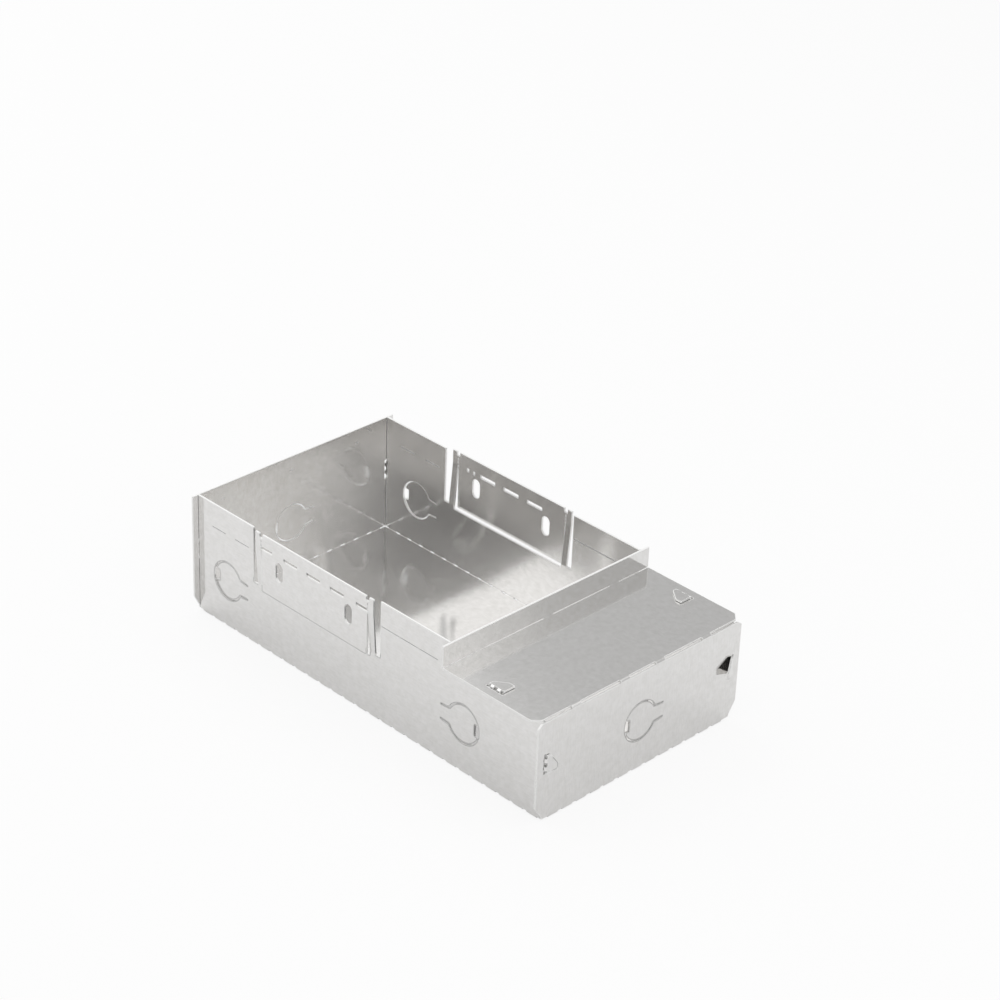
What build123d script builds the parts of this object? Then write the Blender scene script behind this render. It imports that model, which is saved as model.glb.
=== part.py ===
from build123d import *
import os
from math import cos, radians, sin, tan

# Recessed junction box, cut flat from one steel sheet and folded up by hand.
# X runs along the box: the open well is towards -X, the covered bay towards +X.
# Y runs across, Z is up, and the origin is the middle of the floor's underside.

# Sheet
thickness = 1.0
bend_radius = 0.3  # inside radius of the folds round the floor and at the cover
riser_bend_radius = 0.1  # the riser is folded tight
seam_gap = 0.2  # clearance where one panel stands against another
cut_width = 0.5  # width of a cut line round a knockout
tear_width = 0.35  # width of the fine slits along which a strip breaks off

# Box
box_length = 250.0
box_width = 130.0
well_height = 68.0  # top of the walls round the open well
cover_height = 56.4  # top face of the cover
well_length = 187.0  # outer face of the far wall to the riser's face over the cover

# Perforated folds between the floor and its four walls
bridge_width = 6.2
long_pitch = 9.1
end_pitch = 9.5

# Far end wall, which closes the well
far_overhang = 3.4  # how far it stands out past each long wall
far_shift = -3.0  # its knockout and slots lie this far from the middle
far_slot_pitch = 45.6
far_slot_drop = 8.0  # from the wall's top edge
far_slot_length = 2.0

# Near end wall, cover and riser
near_overhang = 4.4
cover_overhang = 5.0
cover_corner_cut = 3.8  # chamfer of the cover's corners
near_corner_cut = 2.7  # width of the chamfer of the near wall's upper corners
near_corner_drop = 1.9  # and its height
skirt_cut_low = 2.5  # the overhang's lower chamfer starts this far up
skirt_cut_high = 9.2  # and reaches the full overhang here
lid_bridge_width = 6.2
lid_bridges = (-44.4, -12.0, 12.0, 44.4)  # places of the bridges of the cover's fold
riser_bridges = (-46.0, 0.0, 46.0)  # places of the bridges of the riser's fold

# Line of slits where the top strip of a long wall breaks off
strip_height = 13.4
far_slits = 2
far_slit_length = 10.5
near_slits = 3
near_slit_length = 12.5
slit_margin = 7.0  # plain sheet at each end of a line of slits

# Fixing ear of each long wall
ear_width = 78.2
ear_bottom = 35.0
ear_foot = 36.5  # where the strips beside the ear leave the wall
front_ear_shift = -2.3  # from the middle of the well
back_ear_shift = 0.1
front_ear_lean = 1.6  # how far the ear stands out from the wall
back_ear_lean = 2.1
ear_hinge_drop = 7.7  # from the top edge to the ear's own line of slits
ear_link = 9.5  # the ear and the strips beside it are one sheet down to here
ear_gap = 0.6
strip_width = 3.8
notch_width = 3.5  # open notch on each side of the ear
ear_slit_width = 2.0
# Place from the ear's middle and length of each slit where the ear's top edge folds
front_ear_slits = ((-35.0, 8.0), (-17.2, 10.2), (0.0, 10.2), (17.2, 10.2), (35.0, 8.0))
back_ear_slits = ((-32.0, 1.6), (-27.4, 1.2), (-17.2, 10.8), (0.0, 10.8), (17.2, 10.8))
ear_hole_width = 5.5
ear_hole_length = 11.0
ear_hole_pitch = 51.2
ear_hole_drop = 16.2
nick_width = 2.4
nick_depth = 2.4
dash_length = 1.1  # dashes of the perforated line between ear and strip
dash_width = 0.8
dash_drops = (4.2, 6.2, 8.2)

# Knockout: a disc held by one neck, with a notch to pry it by
knockout_diameter = 21.5
neck_reach = 15.5  # from the disc's centre to the neck's end
neck_root = 10.4
neck_tip = 7.6
pry_width = 6.3
pry_depth = 3.6
far_pry_depth = 1.7  # the far wall's notch is only a narrow slot
side_knockout_height = 27.5
near_knockout_height = 27.5
far_knockout_height = 28.5
front_knockout_x = 23.8  # the well's knockouts, from the far wall's outer face
back_knockout_x = 25.4
bay_knockout_x = 53.5  # from the near wall's outer face

# How far each disc's free side stands out of its wall after folding, or in if it is below 0
front_well_lean = -0.9
front_bay_lean = -0.5
back_well_lean = 0.9
back_bay_lean = 0.3
far_lean = 0.7
near_lean = -0.4

# Locking tab: goes through a slot and is folded flat on the far side
tab_root = 9.8
tab_tip = 3.5
tab_leaf = 7.0
tab_shoulder = 2.1  # the leaf keeps its full width this far from the fold
tab_radius = 0.3
tab_fold_inset = 0.1  # the tab's bend starts this far inside the slot
tab_stem = 0.4  # full width before the bridges
tab_bridge = 2.0
tab_bridge_pitch = 4.4
slot_clearance = 0.25
far_slot_clearance = 1.2  # on the inner side of the far wall's slots
slot_length = 11.5
far_tab_height = 36.5
near_tab_height = 32.0
cover_tab_x = 33.5  # from the near wall's outer face
flat_fold = 90.0
open_fold = 64.0  # the tab at the near end that isn't pressed home

outer_bend = bend_radius + thickness
x_far = -box_length / 2
x_near = box_length / 2
half_width = box_width / 2
x_riser = x_far + well_length
front_ear_x = x_far + well_length / 2 + front_ear_shift
back_ear_x = x_far + well_length / 2 + back_ear_shift
hinge_height = well_height - ear_hinge_drop
low_top = cover_height - thickness - seam_gap
knockout_radius = knockout_diameter / 2

far_plane = Plane(origin=(x_far, 0, 0), x_dir=(0, 1, 0), z_dir=(1, 0, 0))
near_plane = Plane(origin=(x_near, 0, 0), x_dir=(0, 1, 0), z_dir=(1, 0, 0))
riser_plane = Plane(origin=(x_riser, 0, 0), x_dir=(0, 1, 0), z_dir=(1, 0, 0))


def side_plane(side):
    """Outer face of the front (-1) or back (1) long wall, seen with X to the right and Z up."""
    return Plane(origin=(0, side * half_width, 0), x_dir=(1, 0, 0), z_dir=(0, -1, 0))


def bridge_places(side_length, pitch):
    """Places of the bridges along one side of the floor, as many as it has room for."""
    room = side_length - 2 * outer_bend - bridge_width
    count = int(room / pitch) + 1
    return [pitch * (index - (count - 1) / 2) for index in range(count)]


def evenly(start, end, count):
    """Middles of count equal shares of a length."""
    share = (end - start) / count
    return [start + share * (index + 0.5) for index in range(count)]


def bend_bridges(plane, places, width, radius, turn_start, centre):
    """Quarter-turn bridges of a fold. The plane's normal runs along the fold line."""
    with BuildPart() as bridges:
        for place in places:
            with BuildSketch(plane.offset(place)):
                with BuildLine():
                    inner = CenterArc(centre, radius, turn_start, 90)
                    outer = CenterArc(centre, radius + thickness, turn_start, 90)
                    Line(inner @ 0, outer @ 0)
                    Line(inner @ 1, outer @ 1)
                make_face()
            extrude(amount=width / 2, both=True)
    return bridges.part


def knockout_opening(plane, spot, turn):
    """Hole in the wall that the knockout and its cut line fill, neck included."""
    with BuildPart() as opening:
        with BuildSketch(plane):
            with Locations(Location((spot[0], spot[1], 0), turn)):
                Circle(knockout_radius)
                Polygon(
                    (0, -neck_root / 2 - cut_width),
                    (neck_reach, -neck_tip / 2 - cut_width),
                    (neck_reach, neck_tip / 2 + cut_width),
                    (0, neck_root / 2 + cut_width),
                    align=None,
                )
        extrude(amount=thickness, both=True)
    return opening.part


def knockout_disc(plane, spot, turn, inward, lean, notch_depth=pry_depth):
    """The disc and its neck. The free side stands lean mm out of the wall, or in if it is below 0."""
    section = Plane(
        origin=plane.from_local_coords(Vector(spot[0], spot[1], 0)),
        x_dir=plane.x_dir.rotate(Axis((0, 0, 0), plane.z_dir), turn),
        z_dir=plane.z_dir,
    )
    free_side = neck_reach + knockout_radius
    push = -inward * lean
    with BuildPart() as disc:
        with BuildSketch(section):
            Circle(knockout_radius - cut_width)
            Polygon(
                (0, -neck_root / 2),
                (neck_reach, -neck_tip / 2),
                (neck_reach, neck_tip / 2),
                (0, neck_root / 2),
                align=None,
            )
            with Locations((-knockout_radius, 0)):
                Rectangle(2 * notch_depth, pry_width, mode=Mode.SUBTRACT)
        extrude(amount=knockout_radius, both=True)
        across = Plane(origin=section.origin, x_dir=section.x_dir, z_dir=-section.y_dir)
        with BuildSketch(across):
            Polygon(
                (neck_reach, 0),
                (neck_reach, inward * thickness),
                (neck_reach - free_side, inward * thickness + push),
                (neck_reach - free_side, push),
                align=None,
            )
        extrude(amount=knockout_diameter, both=True, mode=Mode.INTERSECT)
    return disc.part


def locking_tab(origin, out, inwards, fold):
    """Tab on an edge: its stem runs out through a slot, then two bridges turn its leaf inwards.

    The straight side of the leaf is at the origin and its slanted side at the other end.
    """
    plane = Plane(origin=origin, x_dir=out, z_dir=Vector(*out).cross(Vector(*inwards)))
    bend_start = seam_gap + thickness - tab_fold_inset
    centre = (bend_start, thickness + tab_radius)
    turned = radians(fold)
    with BuildPart() as tab:
        with BuildSketch(plane):
            with Locations((tab_stem / 2, thickness / 2)):
                Rectangle(tab_stem, thickness)
        extrude(amount=tab_root)
        for place in (-tab_bridge_pitch / 2, tab_bridge_pitch / 2):
            with BuildSketch(plane.offset(tab_root / 2 + place)):
                with BuildLine():
                    inner = CenterArc(centre, tab_radius, -90, fold)
                    outer = CenterArc(centre, tab_radius + thickness, -90, fold)
                    Line(inner @ 1, outer @ 1)
                    Polyline(
                        inner @ 0,
                        (tab_stem, thickness),
                        (tab_stem, 0),
                        outer @ 0,
                    )
                make_face()
            extrude(amount=tab_bridge / 2, both=True)
        outer_turn = tab_radius + thickness
        leaf_start = plane.from_local_coords(
            Vector(centre[0] + outer_turn * sin(turned), centre[1] - outer_turn * cos(turned), 0)
        )
        along = plane.x_dir * cos(turned) + plane.y_dir * sin(turned)
        leaf_plane = Plane(origin=leaf_start, x_dir=along, z_dir=along.cross(plane.z_dir))
        with BuildSketch(leaf_plane):
            Polygon(
                (0, 0),
                (tab_leaf, 0),
                (tab_leaf, tab_tip),
                (tab_shoulder, tab_root),
                (0, tab_root),
                align=None,
            )
        extrude(amount=-thickness)
    return tab.part


def long_wall(side, ear_x, well_knockout_x, well_lean, bay_lean):
    """Long wall: tall along the well, low under the cover, with two knockouts and an ear's window."""
    plane = side_plane(side)
    inward = side * thickness
    wall_start = x_far + thickness + seam_gap
    wall_end = x_near - thickness - seam_gap
    step = x_riser - thickness - seam_gap
    ear_edge = ear_width / 2 + ear_gap
    window_edge = ear_edge + strip_width + notch_width
    slit_height = well_height - strip_height
    well_spot = (x_far + well_knockout_x, side_knockout_height)
    bay_spot = (x_near - bay_knockout_x, side_knockout_height)
    with BuildPart() as wall:
        with BuildSketch(plane):
            Polygon(
                (wall_start, outer_bend),
                (wall_end, outer_bend),
                (wall_end, low_top),
                (step, low_top),
                (step, well_height),
                (wall_start, well_height),
                align=None,
            )
        extrude(amount=inward)
        with BuildSketch(plane):
            with Locations((ear_x, ear_foot)):
                Rectangle(2 * window_edge, well_height, align=(Align.CENTER, Align.MIN))
            with Locations((ear_x, ear_bottom - ear_gap)):
                Rectangle(2 * ear_edge, well_height, align=(Align.CENTER, Align.MIN))
            for place in evenly(wall_start + slit_margin, ear_x - window_edge, far_slits):
                with Locations((place, slit_height)):
                    Rectangle(far_slit_length, tear_width)
            for place in evenly(ear_x + window_edge, step - slit_margin, near_slits):
                with Locations((place, slit_height)):
                    Rectangle(near_slit_length, tear_width)
        extrude(amount=inward, mode=Mode.SUBTRACT)
        add(knockout_opening(plane, well_spot, 0), mode=Mode.SUBTRACT)
        add(knockout_opening(plane, bay_spot, 180), mode=Mode.SUBTRACT)
        add(knockout_disc(plane, well_spot, 0, side, well_lean))
        add(knockout_disc(plane, bay_spot, 180, side, bay_lean))
    return wall.part


def fixing_ear(side, ear_x, ear_lean, slits):
    """Ear with two slotted holes, hung in its window from two strips that lean out of the wall."""
    face = side_plane(side).offset(-side * ear_lean)
    inward = side * thickness
    ear_edge = ear_width / 2
    tear_x = ear_edge + ear_gap / 2
    with BuildPart() as ear:
        for strip_x in (ear_x - ear_edge - ear_gap - strip_width, ear_x + ear_edge + ear_gap):
            with BuildSketch(Plane.YZ.offset(strip_x)):
                Polygon(
                    (side * half_width, ear_foot),
                    (side * (half_width + ear_lean), hinge_height),
                    (side * (half_width + ear_lean), well_height),
                    (side * (half_width + ear_lean - thickness), well_height),
                    (side * (half_width + ear_lean - thickness), hinge_height),
                    (side * (half_width - thickness), ear_foot),
                    align=None,
                )
            extrude(amount=strip_width)
        with BuildSketch(face):
            with Locations((ear_x, ear_bottom)):
                Rectangle(ear_width, well_height - ear_bottom, align=(Align.CENTER, Align.MIN))
            with Locations((ear_x, well_height)):
                Rectangle(2 * (ear_edge + ear_gap), ear_link, align=(Align.CENTER, Align.MAX))
        extrude(amount=inward)
        with BuildSketch(face):
            with Locations((ear_x, well_height - ear_hole_drop)):
                with GridLocations(ear_hole_pitch, 0, 2, 1):
                    SlotOverall(ear_hole_length, ear_hole_width, rotation=90)
            for place, length in slits:
                with Locations((ear_x + place, hinge_height)):
                    Rectangle(length, ear_slit_width)
            for place in (ear_x - tear_x, ear_x + tear_x):
                for drop in dash_drops:
                    with Locations((place, well_height - drop)):
                        Rectangle(dash_width, dash_length)
                with Locations((place, well_height)):
                    Rectangle(nick_width, 2 * nick_depth)
        extrude(amount=inward, mode=Mode.SUBTRACT)
    return ear.part


def skirt_outline(overhang):
    """Lower part of an end wall: flush with the floor at the bottom, wider above its chamfers."""
    return [
        (half_width, outer_bend),
        (half_width, skirt_cut_low),
        (half_width + overhang, skirt_cut_high),
    ]


def mirrored_outline(right_side):
    """Closed outline from its right-hand points, bottom to top."""
    return right_side + [(-y, z) for y, z in reversed(right_side)]


def tab_slots(height, inner_clearance):
    """Slots near both edges of an end wall for the long walls' tabs."""
    inner_edge = half_width - thickness - inner_clearance
    outer_edge = half_width + slot_clearance
    for slot_y in (-(inner_edge + outer_edge) / 2, (inner_edge + outer_edge) / 2):
        with Locations((slot_y, height)):
            Rectangle(outer_edge - inner_edge, slot_length)


# Floor
with BuildPart() as floor:
    with BuildSketch(Plane.XY):
        Rectangle(box_length - 2 * outer_bend, box_width - 2 * outer_bend)
    extrude(amount=thickness)

# Bridges of the four folds round the floor
long_places = bridge_places(box_length, long_pitch)
end_places = bridge_places(box_width, end_pitch)
front_fold = bend_bridges(
    Plane.YZ, long_places, bridge_width, bend_radius, 180, (outer_bend - half_width, outer_bend)
)
back_fold = bend_bridges(
    Plane.YZ, long_places, bridge_width, bend_radius, 270, (half_width - outer_bend, outer_bend)
)
# The plane of these sections looks along +Y, with X to the right and Z down, so Z changes sign.
across = Plane(origin=(0, 0, 0), x_dir=(1, 0, 0), z_dir=(0, 1, 0))
far_fold = bend_bridges(
    across, end_places, bridge_width, bend_radius, 90, (x_far + outer_bend, -outer_bend)
)
near_fold = bend_bridges(
    across, end_places, bridge_width, bend_radius, 0, (x_near - outer_bend, -outer_bend)
)

# Far end wall
with BuildPart() as far_wall:
    with BuildSketch(far_plane):
        Polygon(
            *mirrored_outline(
                skirt_outline(far_overhang)
                + [(half_width + far_overhang, well_height)]
            ),
            align=None,
        )
    extrude(amount=thickness)
    with BuildSketch(far_plane):
        tab_slots(far_tab_height, far_slot_clearance)
        with Locations((far_shift, well_height - far_slot_drop)):
            with GridLocations(far_slot_pitch, 0, 3, 1):
                Rectangle(far_slot_length, tear_width)
    extrude(amount=thickness, mode=Mode.SUBTRACT)
    far_spot = (far_shift, far_knockout_height)
    add(knockout_opening(far_plane, far_spot, 0), mode=Mode.SUBTRACT)
    add(knockout_disc(far_plane, far_spot, 0, 1, far_lean, far_pry_depth))

# Near end wall, up to the fold of the cover
with BuildPart() as near_wall:
    near_top = cover_height - outer_bend
    with BuildSketch(near_plane):
        Polygon(
            *mirrored_outline(
                skirt_outline(near_overhang)
                + [
                    (half_width + near_overhang, near_top - near_corner_drop),
                    (half_width + near_overhang - near_corner_cut, near_top),
                ]
            ),
            align=None,
        )
    extrude(amount=-thickness)
    with BuildSketch(near_plane):
        tab_slots(near_tab_height, slot_clearance)
    extrude(amount=-thickness, mode=Mode.SUBTRACT)
    near_spot = (0, near_knockout_height)
    add(knockout_opening(near_plane, near_spot, 0), mode=Mode.SUBTRACT)
    add(knockout_disc(near_plane, near_spot, 0, -1, near_lean))

# Cover over the bay, from the near wall's fold to the riser's fold
with BuildPart() as cover:
    cover_start = x_riser + riser_bend_radius
    cover_end = x_near - outer_bend
    cover_half = half_width + cover_overhang
    with BuildSketch(Plane.XY.offset(cover_height)):
        Polygon(
            (cover_start, -cover_half),
            (cover_end - cover_corner_cut, -cover_half),
            (cover_end, -cover_half + cover_corner_cut),
            (cover_end, cover_half - cover_corner_cut),
            (cover_end - cover_corner_cut, cover_half),
            (cover_start, cover_half),
            align=None,
        )
        for slot_y in (thickness / 2 - half_width, half_width - thickness / 2):
            with Locations((x_near - cover_tab_x, slot_y)):
                Rectangle(slot_length, thickness + 2 * slot_clearance, mode=Mode.SUBTRACT)
    extrude(amount=-thickness)
lid_fold = bend_bridges(
    across,
    lid_bridges,
    lid_bridge_width,
    bend_radius,
    270,
    (x_near - outer_bend, outer_bend - cover_height),
)

# Riser, folded up from the cover's inner edge to the level of the well's walls
with BuildPart() as riser:
    with BuildSketch(riser_plane):
        with Locations((0, cover_height + riser_bend_radius)):
            Rectangle(
                2 * cover_half,
                well_height - cover_height - riser_bend_radius,
                align=(Align.CENTER, Align.MIN),
            )
    extrude(amount=-thickness)
riser_fold = bend_bridges(
    across,
    riser_bridges,
    lid_bridge_width,
    riser_bend_radius,
    90,
    (x_riser + riser_bend_radius, -cover_height - riser_bend_radius),
)

# Long walls and their ears
front_wall = long_wall(-1, front_ear_x, front_knockout_x, front_well_lean, front_bay_lean)
back_wall = long_wall(1, back_ear_x, back_knockout_x, back_well_lean, back_bay_lean)
front_ear = fixing_ear(-1, front_ear_x, front_ear_lean, front_ear_slits)
back_ear = fixing_ear(1, back_ear_x, back_ear_lean, back_ear_slits)

# Locking tabs of the front wall, and the same at the back by mirroring
edge_y = -half_width
near_edge = x_near - thickness - seam_gap
near_base = near_tab_height - tab_root / 2
far_base = far_tab_height - tab_root / 2
cover_base = x_near - cover_tab_x + tab_root / 2
near_tab = locking_tab((near_edge, edge_y, near_base), (1, 0, 0), (0, 1, 0), flat_fold)
open_tab = locking_tab((near_edge, edge_y, near_base), (1, 0, 0), (0, 1, 0), open_fold)
far_tab = mirror(
    locking_tab((near_edge, edge_y, far_base), (1, 0, 0), (0, 1, 0), flat_fold), about=Plane.YZ
)
cover_tab = locking_tab((cover_base, edge_y, low_top), (0, 0, 1), (0, 1, 0), flat_fold)

# The whole sheet
with BuildPart() as folded_box:
    add(floor.part)
    add([front_fold, back_fold, far_fold, near_fold])
    add([far_wall.part, near_wall.part, front_wall, back_wall])
    add([cover.part, lid_fold, riser.part, riser_fold])
    add([front_ear, back_ear])
    add([near_tab, far_tab, cover_tab])
    add([mirror(open_tab, about=Plane.XZ), mirror(far_tab, about=Plane.XZ)])
    add(mirror(cover_tab, about=Plane.XZ))

folded_box.part.label = "folded_box"

os.makedirs("parts", exist_ok=True)
export_step(folded_box.part, "parts/folded_box.step")
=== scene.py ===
import math

import bpy
from mathutils import Matrix, Vector


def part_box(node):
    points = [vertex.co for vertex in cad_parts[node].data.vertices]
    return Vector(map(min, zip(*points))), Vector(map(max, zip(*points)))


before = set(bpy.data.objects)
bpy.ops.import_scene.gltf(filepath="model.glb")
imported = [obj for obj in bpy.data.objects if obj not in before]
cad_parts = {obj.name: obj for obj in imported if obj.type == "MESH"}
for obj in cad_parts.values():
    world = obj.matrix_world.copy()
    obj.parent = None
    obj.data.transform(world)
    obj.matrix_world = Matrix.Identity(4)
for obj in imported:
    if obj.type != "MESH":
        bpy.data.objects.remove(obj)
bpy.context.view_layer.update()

# The folded box
# One galvanised steel sheet, cut flat by laser and folded up by hand along perforated folds.
# The sheet is rolled once more after its zinc bath, which flattens the crystals to a
# semi-bright skin with fine lines along the rolling direction.
box_low, box_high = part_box("folded_box")
zinc_bright = "#EDECEB"
zinc_dull = "#E3E2E0"
zinc_roughness_low = 0.09
zinc_roughness_high = 0.13
rolling_smear = 0.75
mottle_size = 0.003
grain_width = 0.0006
grain_length = 0.006
pattern_detail = 3.0
pattern_roughness = 0.6
grain_low = 0.3
grain_high = 0.7
dullness_low = 0.75
dullness_high = 1.25
end_facing_least = 0.7

# Painted glint: the cut faces and the rim are painted near white.
cut_glint_white = "#FBFBFA"
cut_roughness = 0.6
cut_metallic = 0.2
probe_rays = 12
sheet_depth = 0.0009
cut_starts = 0.70
cut_full = 0.50
rim_depth = 0.0003

# Painted shade along the cuts of the knockouts and tabs
painted_cut_shade = "#8E8D8B"
painted_shade_starts = 0.92
painted_shade_full = 0.70
painted_shade_band_middle = 0.0265
painted_shade_band_half = 0.0125
side_depth = 0.0065
corner_width = 0.0095

# Painted shade in the narrow cuts round the knockouts and tabs
crevice_shade = "#4A4A49"
crevice_reach = 0.0009
crevice_closed = 0.05
crevice_open = 0.42
far_depth = 0.004

normal_step = 0.07
wave_length = 0.055
wave_height = 0.00012
wave_detail = 1.0
pit_size = 0.0011
pit_height = 0.000002
pit_detail = 2.0


def linear(hex_colour):
    """Linear RGBA from an sRGB hex colour."""
    channels = [int(hex_colour[i:i + 2], 16) / 255 for i in (1, 3, 5)]
    return [c / 12.92 if c <= 0.04045 else ((c + 0.055) / 1.055) ** 2.4 for c in channels] + [1.0]


def add_node(tree, kind, settings=None, links=None):
    """Adds one node, sets its properties and inputs, and links its inputs from other sockets."""
    node = tree.nodes.new(kind)
    for name, value in (settings or {}).items():
        if isinstance(name, str) and hasattr(node, name):
            setattr(node, name, value)
        else:
            node.inputs[name].default_value = value
    for name, socket in (links or {}).items():
        tree.links.new(socket, node.inputs[name])
    return node


# Galvanised steel sheet, skin-passed: a semi-bright mirror, soft at the edges of what it shows,
# with a faint mottle where the zinc crystals were, fine rolling lines and a slight waviness.
# The laser-cut edges are rough, and get a painted glint: near white with little metal, so that they
# show as thin white lines.
galvanised = bpy.data.materials.new("galvanised_sheet_skin_passed")
galvanised.use_nodes = True
tree = galvanised.node_tree
surface = tree.nodes["Principled BSDF"]
surface.inputs["Anisotropic"].default_value = rolling_smear
coords = add_node(tree, "ShaderNodeTexCoord")

# The place on the sheet as it lay before folding: the rolling direction runs along the box,
# and so up the end walls.
facing = add_node(tree, "ShaderNodeSeparateXYZ", links={0: coords.outputs["Normal"]})
end_facing = add_node(tree, "ShaderNodeMath", {"operation": "ABSOLUTE"}, {0: facing.outputs["X"]})
end_wall = add_node(
    tree,
    "ShaderNodeMath",
    {"operation": "GREATER_THAN", 1: end_facing_least},
    {0: end_facing.outputs[0]},
)
spot = add_node(tree, "ShaderNodeSeparateXYZ", links={0: coords.outputs["Object"]})
side_across = add_node(
    tree, "ShaderNodeMath", {"operation": "ADD"}, {0: spot.outputs["Y"], 1: spot.outputs["Z"]}
)
along = add_node(
    tree,
    "ShaderNodeMix",
    links={0: end_wall.outputs[0], 2: spot.outputs["X"], 3: spot.outputs["Z"]},
)
across = add_node(
    tree,
    "ShaderNodeMix",
    links={0: end_wall.outputs[0], 2: side_across.outputs[0], 3: spot.outputs["Y"]},
)
flat_sheet = add_node(
    tree, "ShaderNodeCombineXYZ", links={"X": along.outputs[0], "Y": across.outputs[0]}
)

# Real rolling lines are much finer, and are drawn this wide so that they show.
stretched = add_node(
    tree,
    "ShaderNodeMapping",
    {"Scale": (1 / grain_length, 1 / grain_width, 1)},
    {"Vector": flat_sheet.outputs[0]},
)
grain = add_node(
    tree,
    "ShaderNodeTexNoise",
    {"Scale": 1.0, "Detail": pattern_detail, "Roughness": pattern_roughness},
    {"Vector": stretched.outputs["Vector"]},
)
mottle = add_node(
    tree,
    "ShaderNodeTexNoise",
    {"Scale": 1 / mottle_size, "Detail": pattern_detail, "Roughness": pattern_roughness},
    {"Vector": coords.outputs["Object"]},
)
mottle_and_grain = add_node(
    tree,
    "ShaderNodeMath",
    {"operation": "ADD"},
    {0: mottle.outputs["Fac"], 1: grain.outputs["Fac"]},
)
dullness = add_node(
    tree,
    "ShaderNodeMapRange",
    {"From Min": dullness_low, "From Max": dullness_high},
    {"Value": mottle_and_grain.outputs[0]},
)
zinc = add_node(
    tree,
    "ShaderNodeMix",
    {"data_type": "RGBA", 6: linear(zinc_bright), 7: linear(zinc_dull)},
    {0: dullness.outputs[0]},
)
gloss = add_node(
    tree,
    "ShaderNodeMapRange",
    {
        "From Min": grain_low,
        "From Max": grain_high,
        "To Min": zinc_roughness_low,
        "To Max": zinc_roughness_high,
    },
    {"Value": grain.outputs["Fac"]},
)

# What the sheet mirrors is smeared across the rolling lines: across the box on the floor, the
# cover and the end walls, and up and down on the long walls.
side_facing = add_node(tree, "ShaderNodeMath", {"operation": "ABSOLUTE"}, {0: facing.outputs["Y"]})
not_side = add_node(
    tree, "ShaderNodeMath", {"operation": "SUBTRACT", 0: 1.0}, {1: side_facing.outputs[0]}
)
smear = add_node(
    tree, "ShaderNodeCombineXYZ", links={"Y": not_side.outputs[0], "Z": side_facing.outputs[0]}
)
tree.links.new(smear.outputs[0], surface.inputs["Tangent"])

# Cut faces are found where the metal behind the surface is narrower than the sheet is thick.
# The very top of the rim is a cut face too. Both get a painted glint: near white, rough and with
# little metal.
below = add_node(
    tree,
    "ShaderNodeAmbientOcclusion",
    {"samples": probe_rays, "inside": True, "only_local": True, "Distance": sheet_depth},
)
cut_face = add_node(
    tree,
    "ShaderNodeMapRange",
    {"From Min": cut_starts, "From Max": cut_full},
    {"Value": below.outputs["AO"]},
)
rim = add_node(
    tree,
    "ShaderNodeMath",
    {"operation": "GREATER_THAN", 1: box_high.z - rim_depth},
    {0: spot.outputs["Z"]},
)
bare_and_glint = add_node(
    tree, "ShaderNodeMath", {"operation": "MAXIMUM"}, {0: cut_face.outputs[0], 1: rim.outputs[0]}
)

# Painted shade: a thin grey line along the cuts of the knockouts and tabs, on the outside of the
# walls and away from the box's corners. It is drawn wider than the real one, so that it shows.
by_a_cut = add_node(
    tree,
    "ShaderNodeMapRange",
    {"From Min": painted_shade_starts, "From Max": painted_shade_full},
    {"Value": below.outputs["AO"]},
)
painted_shade_band = add_node(
    tree,
    "ShaderNodeMath",
    {"operation": "COMPARE", 1: painted_shade_band_middle, 2: painted_shade_band_half},
    {0: spot.outputs["Z"]},
)
outwards = add_node(
    tree,
    "ShaderNodeVectorMath",
    {"operation": "DOT_PRODUCT"},
    {0: coords.outputs["Normal"], 1: coords.outputs["Object"]},
)
outer_face = add_node(
    tree,
    "ShaderNodeMath",
    {"operation": "GREATER_THAN", 1: box_high.y - side_depth},
    {0: outwards.outputs["Value"]},
)
from_middle = add_node(
    tree, "ShaderNodeVectorMath", {"operation": "ABSOLUTE"}, {0: coords.outputs["Object"]}
)
reach = add_node(tree, "ShaderNodeSeparateXYZ", links={0: from_middle.outputs[0]})
clear_of_ends = add_node(
    tree,
    "ShaderNodeMath",
    {"operation": "LESS_THAN", 1: box_high.x - corner_width},
    {0: reach.outputs["X"]},
)
clear_of_sides = add_node(
    tree,
    "ShaderNodeMath",
    {"operation": "LESS_THAN", 1: box_high.y - corner_width},
    {0: reach.outputs["Y"]},
)
off_corner = add_node(
    tree,
    "ShaderNodeMath",
    {"operation": "MAXIMUM"},
    {0: clear_of_ends.outputs[0], 1: clear_of_sides.outputs[0]},
)
outside = add_node(
    tree,
    "ShaderNodeMath",
    {"operation": "MULTIPLY"},
    {0: outer_face.outputs[0], 1: off_corner.outputs[0]},
)
on_band = add_node(
    tree,
    "ShaderNodeMath",
    {"operation": "MULTIPLY"},
    {0: outside.outputs[0], 1: painted_shade_band.outputs[0]},
)
painted_shade_by_cuts = add_node(
    tree,
    "ShaderNodeMath",
    {"operation": "MULTIPLY"},
    {0: on_band.outputs[0], 1: by_a_cut.outputs[0]},
)
with_painted_shade = add_node(
    tree,
    "ShaderNodeMix",
    {"data_type": "RGBA", 7: linear(painted_cut_shade)},
    {0: painted_shade_by_cuts.outputs[0], 6: zinc.outputs[2]},
)
# Painted glint: the cut faces and the rim are painted near white.
with_cut_glints = add_node(
    tree,
    "ShaderNodeMix",
    {"data_type": "RGBA", 7: linear(cut_glint_white)},
    {0: bare_and_glint.outputs[0], 6: with_painted_shade.outputs[2]},
)
cut_gloss = add_node(
    tree, "ShaderNodeMix", {3: cut_roughness}, {0: bare_and_glint.outputs[0], 2: gloss.outputs[0]}
)
tree.links.new(cut_gloss.outputs[0], surface.inputs["Roughness"])
cut_metal = add_node(tree, "ShaderNodeMix", {2: 1.0, 3: cut_metallic}, {0: bare_and_glint.outputs[0]})
tree.links.new(cut_metal.outputs[0], surface.inputs["Metallic"])
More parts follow.
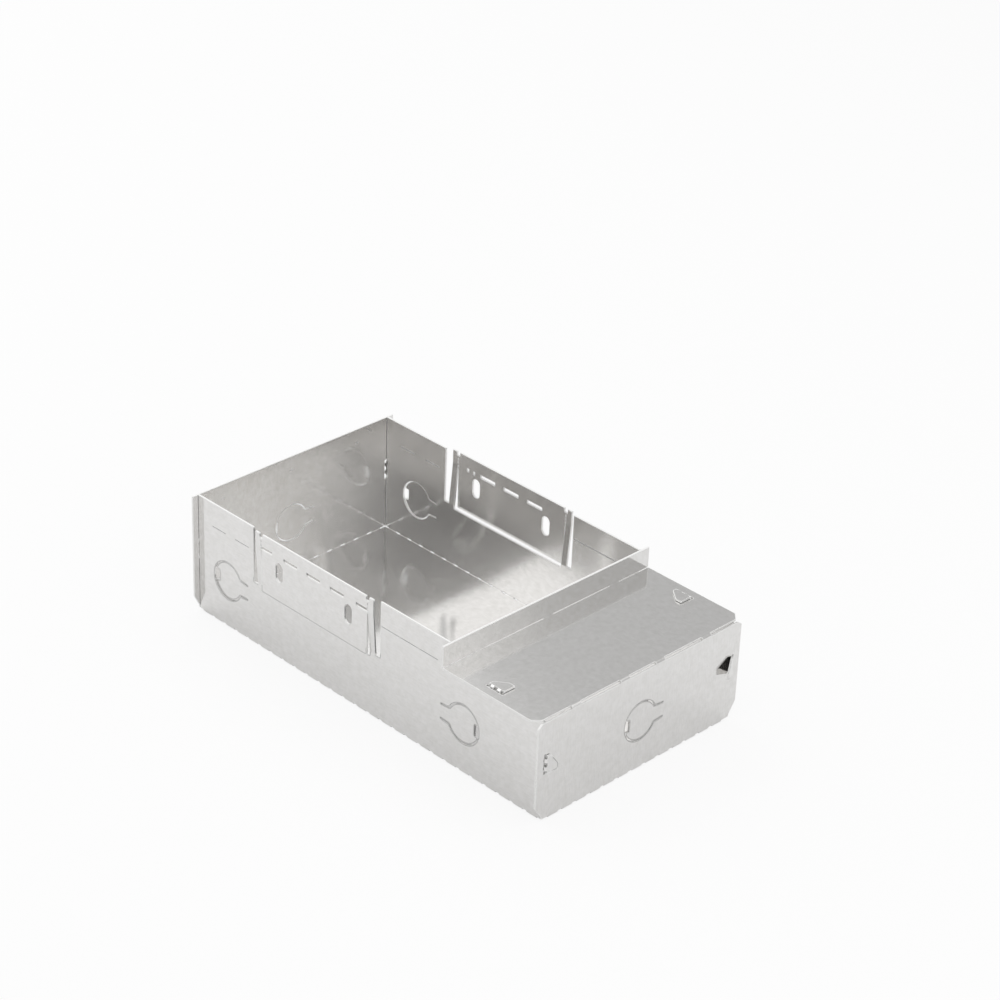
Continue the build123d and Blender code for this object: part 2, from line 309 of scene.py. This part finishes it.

# The narrow cuts round the knockouts and tabs get painted shade, darker where less open air
# reaches them. The far wall's cuts and seams are lit from behind, so they get none and stay light.
open_air = add_node(
    tree,
    "ShaderNodeAmbientOcclusion",
    {"samples": probe_rays, "only_local": True, "Distance": crevice_reach},
)
openness = add_node(
    tree,
    "ShaderNodeMapRange",
    {"From Min": crevice_closed, "From Max": crevice_open},
    {"Value": open_air.outputs["AO"]},
)
far_end = add_node(
    tree,
    "ShaderNodeMath",
    {"operation": "LESS_THAN", 1: box_low.x + far_depth},
    {0: spot.outputs["X"]},
)
lit = add_node(
    tree, "ShaderNodeMath", {"operation": "MAXIMUM"}, {0: openness.outputs[0], 1: far_end.outputs[0]}
)
colour = add_node(
    tree,
    "ShaderNodeMix",
    {"data_type": "RGBA", 6: linear(crevice_shade)},
    {0: lit.outputs[0], 7: with_cut_glints.outputs[2]},
)
tree.links.new(colour.outputs[2], surface.inputs["Base Color"])

# The knockouts' discs mirror what the wall round them mirrors: a normal that is off an axis by
# less than two degrees is set upright. Then come slight waves and the fine pits of the zinc,
# which are drawn coarser than real ones, so that they show.
offset = add_node(
    tree,
    "ShaderNodeVectorMath",
    {"operation": "ADD", 1: (normal_step / 2, normal_step / 2, normal_step / 2)},
    {0: coords.outputs["Normal"]},
)
snapped = add_node(
    tree,
    "ShaderNodeVectorMath",
    {"operation": "SNAP", 1: (normal_step, normal_step, normal_step)},
    {0: offset.outputs[0]},
)
even = add_node(tree, "ShaderNodeVectorMath", {"operation": "NORMALIZE"}, {0: snapped.outputs[0]})
waves = add_node(
    tree,
    "ShaderNodeTexNoise",
    {"Scale": 1 / wave_length, "Detail": wave_detail},
    {"Vector": coords.outputs["Object"]},
)
wavy = add_node(
    tree,
    "ShaderNodeBump",
    {"Strength": 1.0, "Distance": wave_height},
    {"Height": waves.outputs["Fac"], "Normal": even.outputs[0]},
)
pits = add_node(
    tree,
    "ShaderNodeTexNoise",
    {"Scale": 1 / pit_size, "Detail": pit_detail},
    {"Vector": coords.outputs["Object"]},
)
relief = add_node(
    tree,
    "ShaderNodeBump",
    {"Strength": 1.0, "Distance": pit_height},
    {"Height": pits.outputs["Fac"], "Normal": wavy.outputs["Normal"]},
)
tree.links.new(relief.outputs["Normal"], surface.inputs["Normal"])
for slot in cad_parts["folded_box"].material_slots:
    slot.material = galvanised

# Studio
# A plain white paper floor in a pale room, with a soft lamp overhead and a long soft lamp on
# each side. The metal mirrors all three, and in the well's far corner the dark camera too.
paper_colour = "#F5F5F5"
paper_roughness = 0.9
plain_white = "#FFFFFF"
room_strength = 0.55
floor_size = 6.0
floor_gap = 0.0001
background_share = 0.85
mirrored_share = 0.05

bpy.ops.object.select_all(action="DESELECT")
bpy.ops.mesh.primitive_plane_add(size=floor_size, location=(0, 0, 0))
floor = bpy.context.object
floor.name = "studio_floor"
floor.data.transform(Matrix.Translation((0, 0, box_low.z - floor_gap)))

# Matt white paper. The camera sees it lifted most of the way to plain white, and the metal sees
# it lifted a little. The rest keeps the box's shadow.
paper = bpy.data.materials.new("matt_white_paper")
paper.use_nodes = True
tree = paper.node_tree
matt = tree.nodes["Principled BSDF"]
matt.inputs["Base Color"].default_value = linear(paper_colour)
matt.inputs["Roughness"].default_value = paper_roughness
white = add_node(tree, "ShaderNodeEmission", {"Color": linear(plain_white), "Strength": 1.0})
rays = add_node(tree, "ShaderNodeLightPath")
mirrored = add_node(
    tree,
    "ShaderNodeMath",
    {"operation": "MAXIMUM"},
    {0: rays.outputs["Is Glossy Ray"], 1: rays.outputs["Is Transmission Ray"]},
)
mirrored_part = add_node(
    tree, "ShaderNodeMath", {"operation": "MULTIPLY", 1: mirrored_share}, {0: mirrored.outputs[0]}
)
share = add_node(
    tree,
    "ShaderNodeMath",
    {"operation": "MULTIPLY_ADD", 1: background_share},
    {0: rays.outputs["Is Camera Ray"], 2: mirrored_part.outputs[0]},
)
lifted = add_node(
    tree,
    "ShaderNodeMixShader",
    links={0: share.outputs[0], 1: matt.outputs[0], 2: white.outputs[0]},
)
tree.links.new(lifted.outputs[0], tree.nodes["Material Output"].inputs["Surface"])
floor.data.materials.append(paper)

world = bpy.data.worlds.new("studio")
bpy.context.scene.world = world
world.use_nodes = True
room = world.node_tree.nodes["Background"]
room.inputs["Color"].default_value = linear(plain_white)
room.inputs["Strength"].default_value = room_strength


def soft_lamp(name, place, aim, width, height, brightness):
    """Large flat lamp that points at a spot. A brightness of 1 shows as plain white."""
    light = bpy.data.lights.new(name, "AREA")
    light.shape = "RECTANGLE"
    light.size = width
    light.size_y = height
    light.energy = brightness * math.pi * width * height
    lamp = bpy.data.objects.new(name, light)
    bpy.context.scene.collection.objects.link(lamp)
    lamp.location = place
    lamp.rotation_euler = (Vector(aim) - Vector(place)).to_track_quat("-Z", "Y").to_euler()
    lamp.visible_camera = False


soft_lamp(
    "overhead_lamp", place=(0, 0, 1.5), aim=(0, 0, 0), width=2.4, height=2.4, brightness=0.5
)
soft_lamp(
    "left_lamp",
    place=(-1.21, -0.27, 0.9),
    aim=(0, -0.27, 0.03),
    width=2.6,
    height=1.1,
    brightness=0.7,
)
soft_lamp(
    "right_lamp",
    place=(1.21, -0.275, 0.9),
    aim=(0, -0.275, 0.03),
    width=2.65,
    height=1.1,
    brightness=0.55,
)

# Camera
# The photograph's view: from the near corner, about 29 degrees up, with a slight tilt.
view_azimuth = math.radians(44.6)
view_elevation = math.radians(29.43)
view_roll = math.radians(2.25)
view_distance = 1.3867
view_target = Vector((0.02603, 0, 0.10519))
view_focal = 103.8
sensor_width = 36.0

lens = bpy.data.cameras.new("camera")
lens.lens = view_focal
lens.sensor_width = sensor_width
lens.sensor_fit = "HORIZONTAL"
camera = bpy.data.objects.new("camera", lens)
bpy.context.scene.collection.objects.link(camera)
back = Vector((
    math.sin(view_azimuth) * math.cos(view_elevation),
    -math.cos(view_azimuth) * math.cos(view_elevation),
    math.sin(view_elevation),
))
level = Vector((math.cos(view_azimuth), math.sin(view_azimuth), 0))
upright = back.cross(level)
right = level * math.cos(view_roll) + upright * math.sin(view_roll)
up = upright * math.cos(view_roll) - level * math.sin(view_roll)
turn = Matrix((right, up, back)).transposed()
camera.matrix_world = Matrix.Translation(view_target + back * view_distance) @ turn.to_4x4()
bpy.context.scene.camera = camera

# The dark body of the camera, just behind its lens, which the three walls of the well's far
# corner mirror back
body_width = 0.22
body_height = 0.18
body_aside = -0.055
body_behind = 0.02
plastic_colour = "#1C1C1C"
plastic_roughness = 0.8

bpy.ops.object.select_all(action="DESELECT")
bpy.ops.mesh.primitive_plane_add(size=1.0, location=(0, 0, 0))
camera_body = bpy.context.object
camera_body.name = "camera_body"
camera_body.data.transform(Matrix.Diagonal((body_width, body_height, 1, 1)))
camera_body.data.transform(
    Matrix.Translation(view_target + back * (view_distance + body_behind) + right * body_aside)
    @ turn.to_4x4()
)
camera_body.visible_camera = False

# Black moulded plastic, dull and nearly without a highlight
black_plastic = bpy.data.materials.new("black_moulded_plastic")
black_plastic.use_nodes = True
dull = black_plastic.node_tree.nodes["Principled BSDF"]
dull.inputs["Base Color"].default_value = linear(plastic_colour)
dull.inputs["Roughness"].default_value = plastic_roughness
camera_body.data.materials.append(black_plastic)

bpy.context.scene.view_settings.view_transform = "Standard"
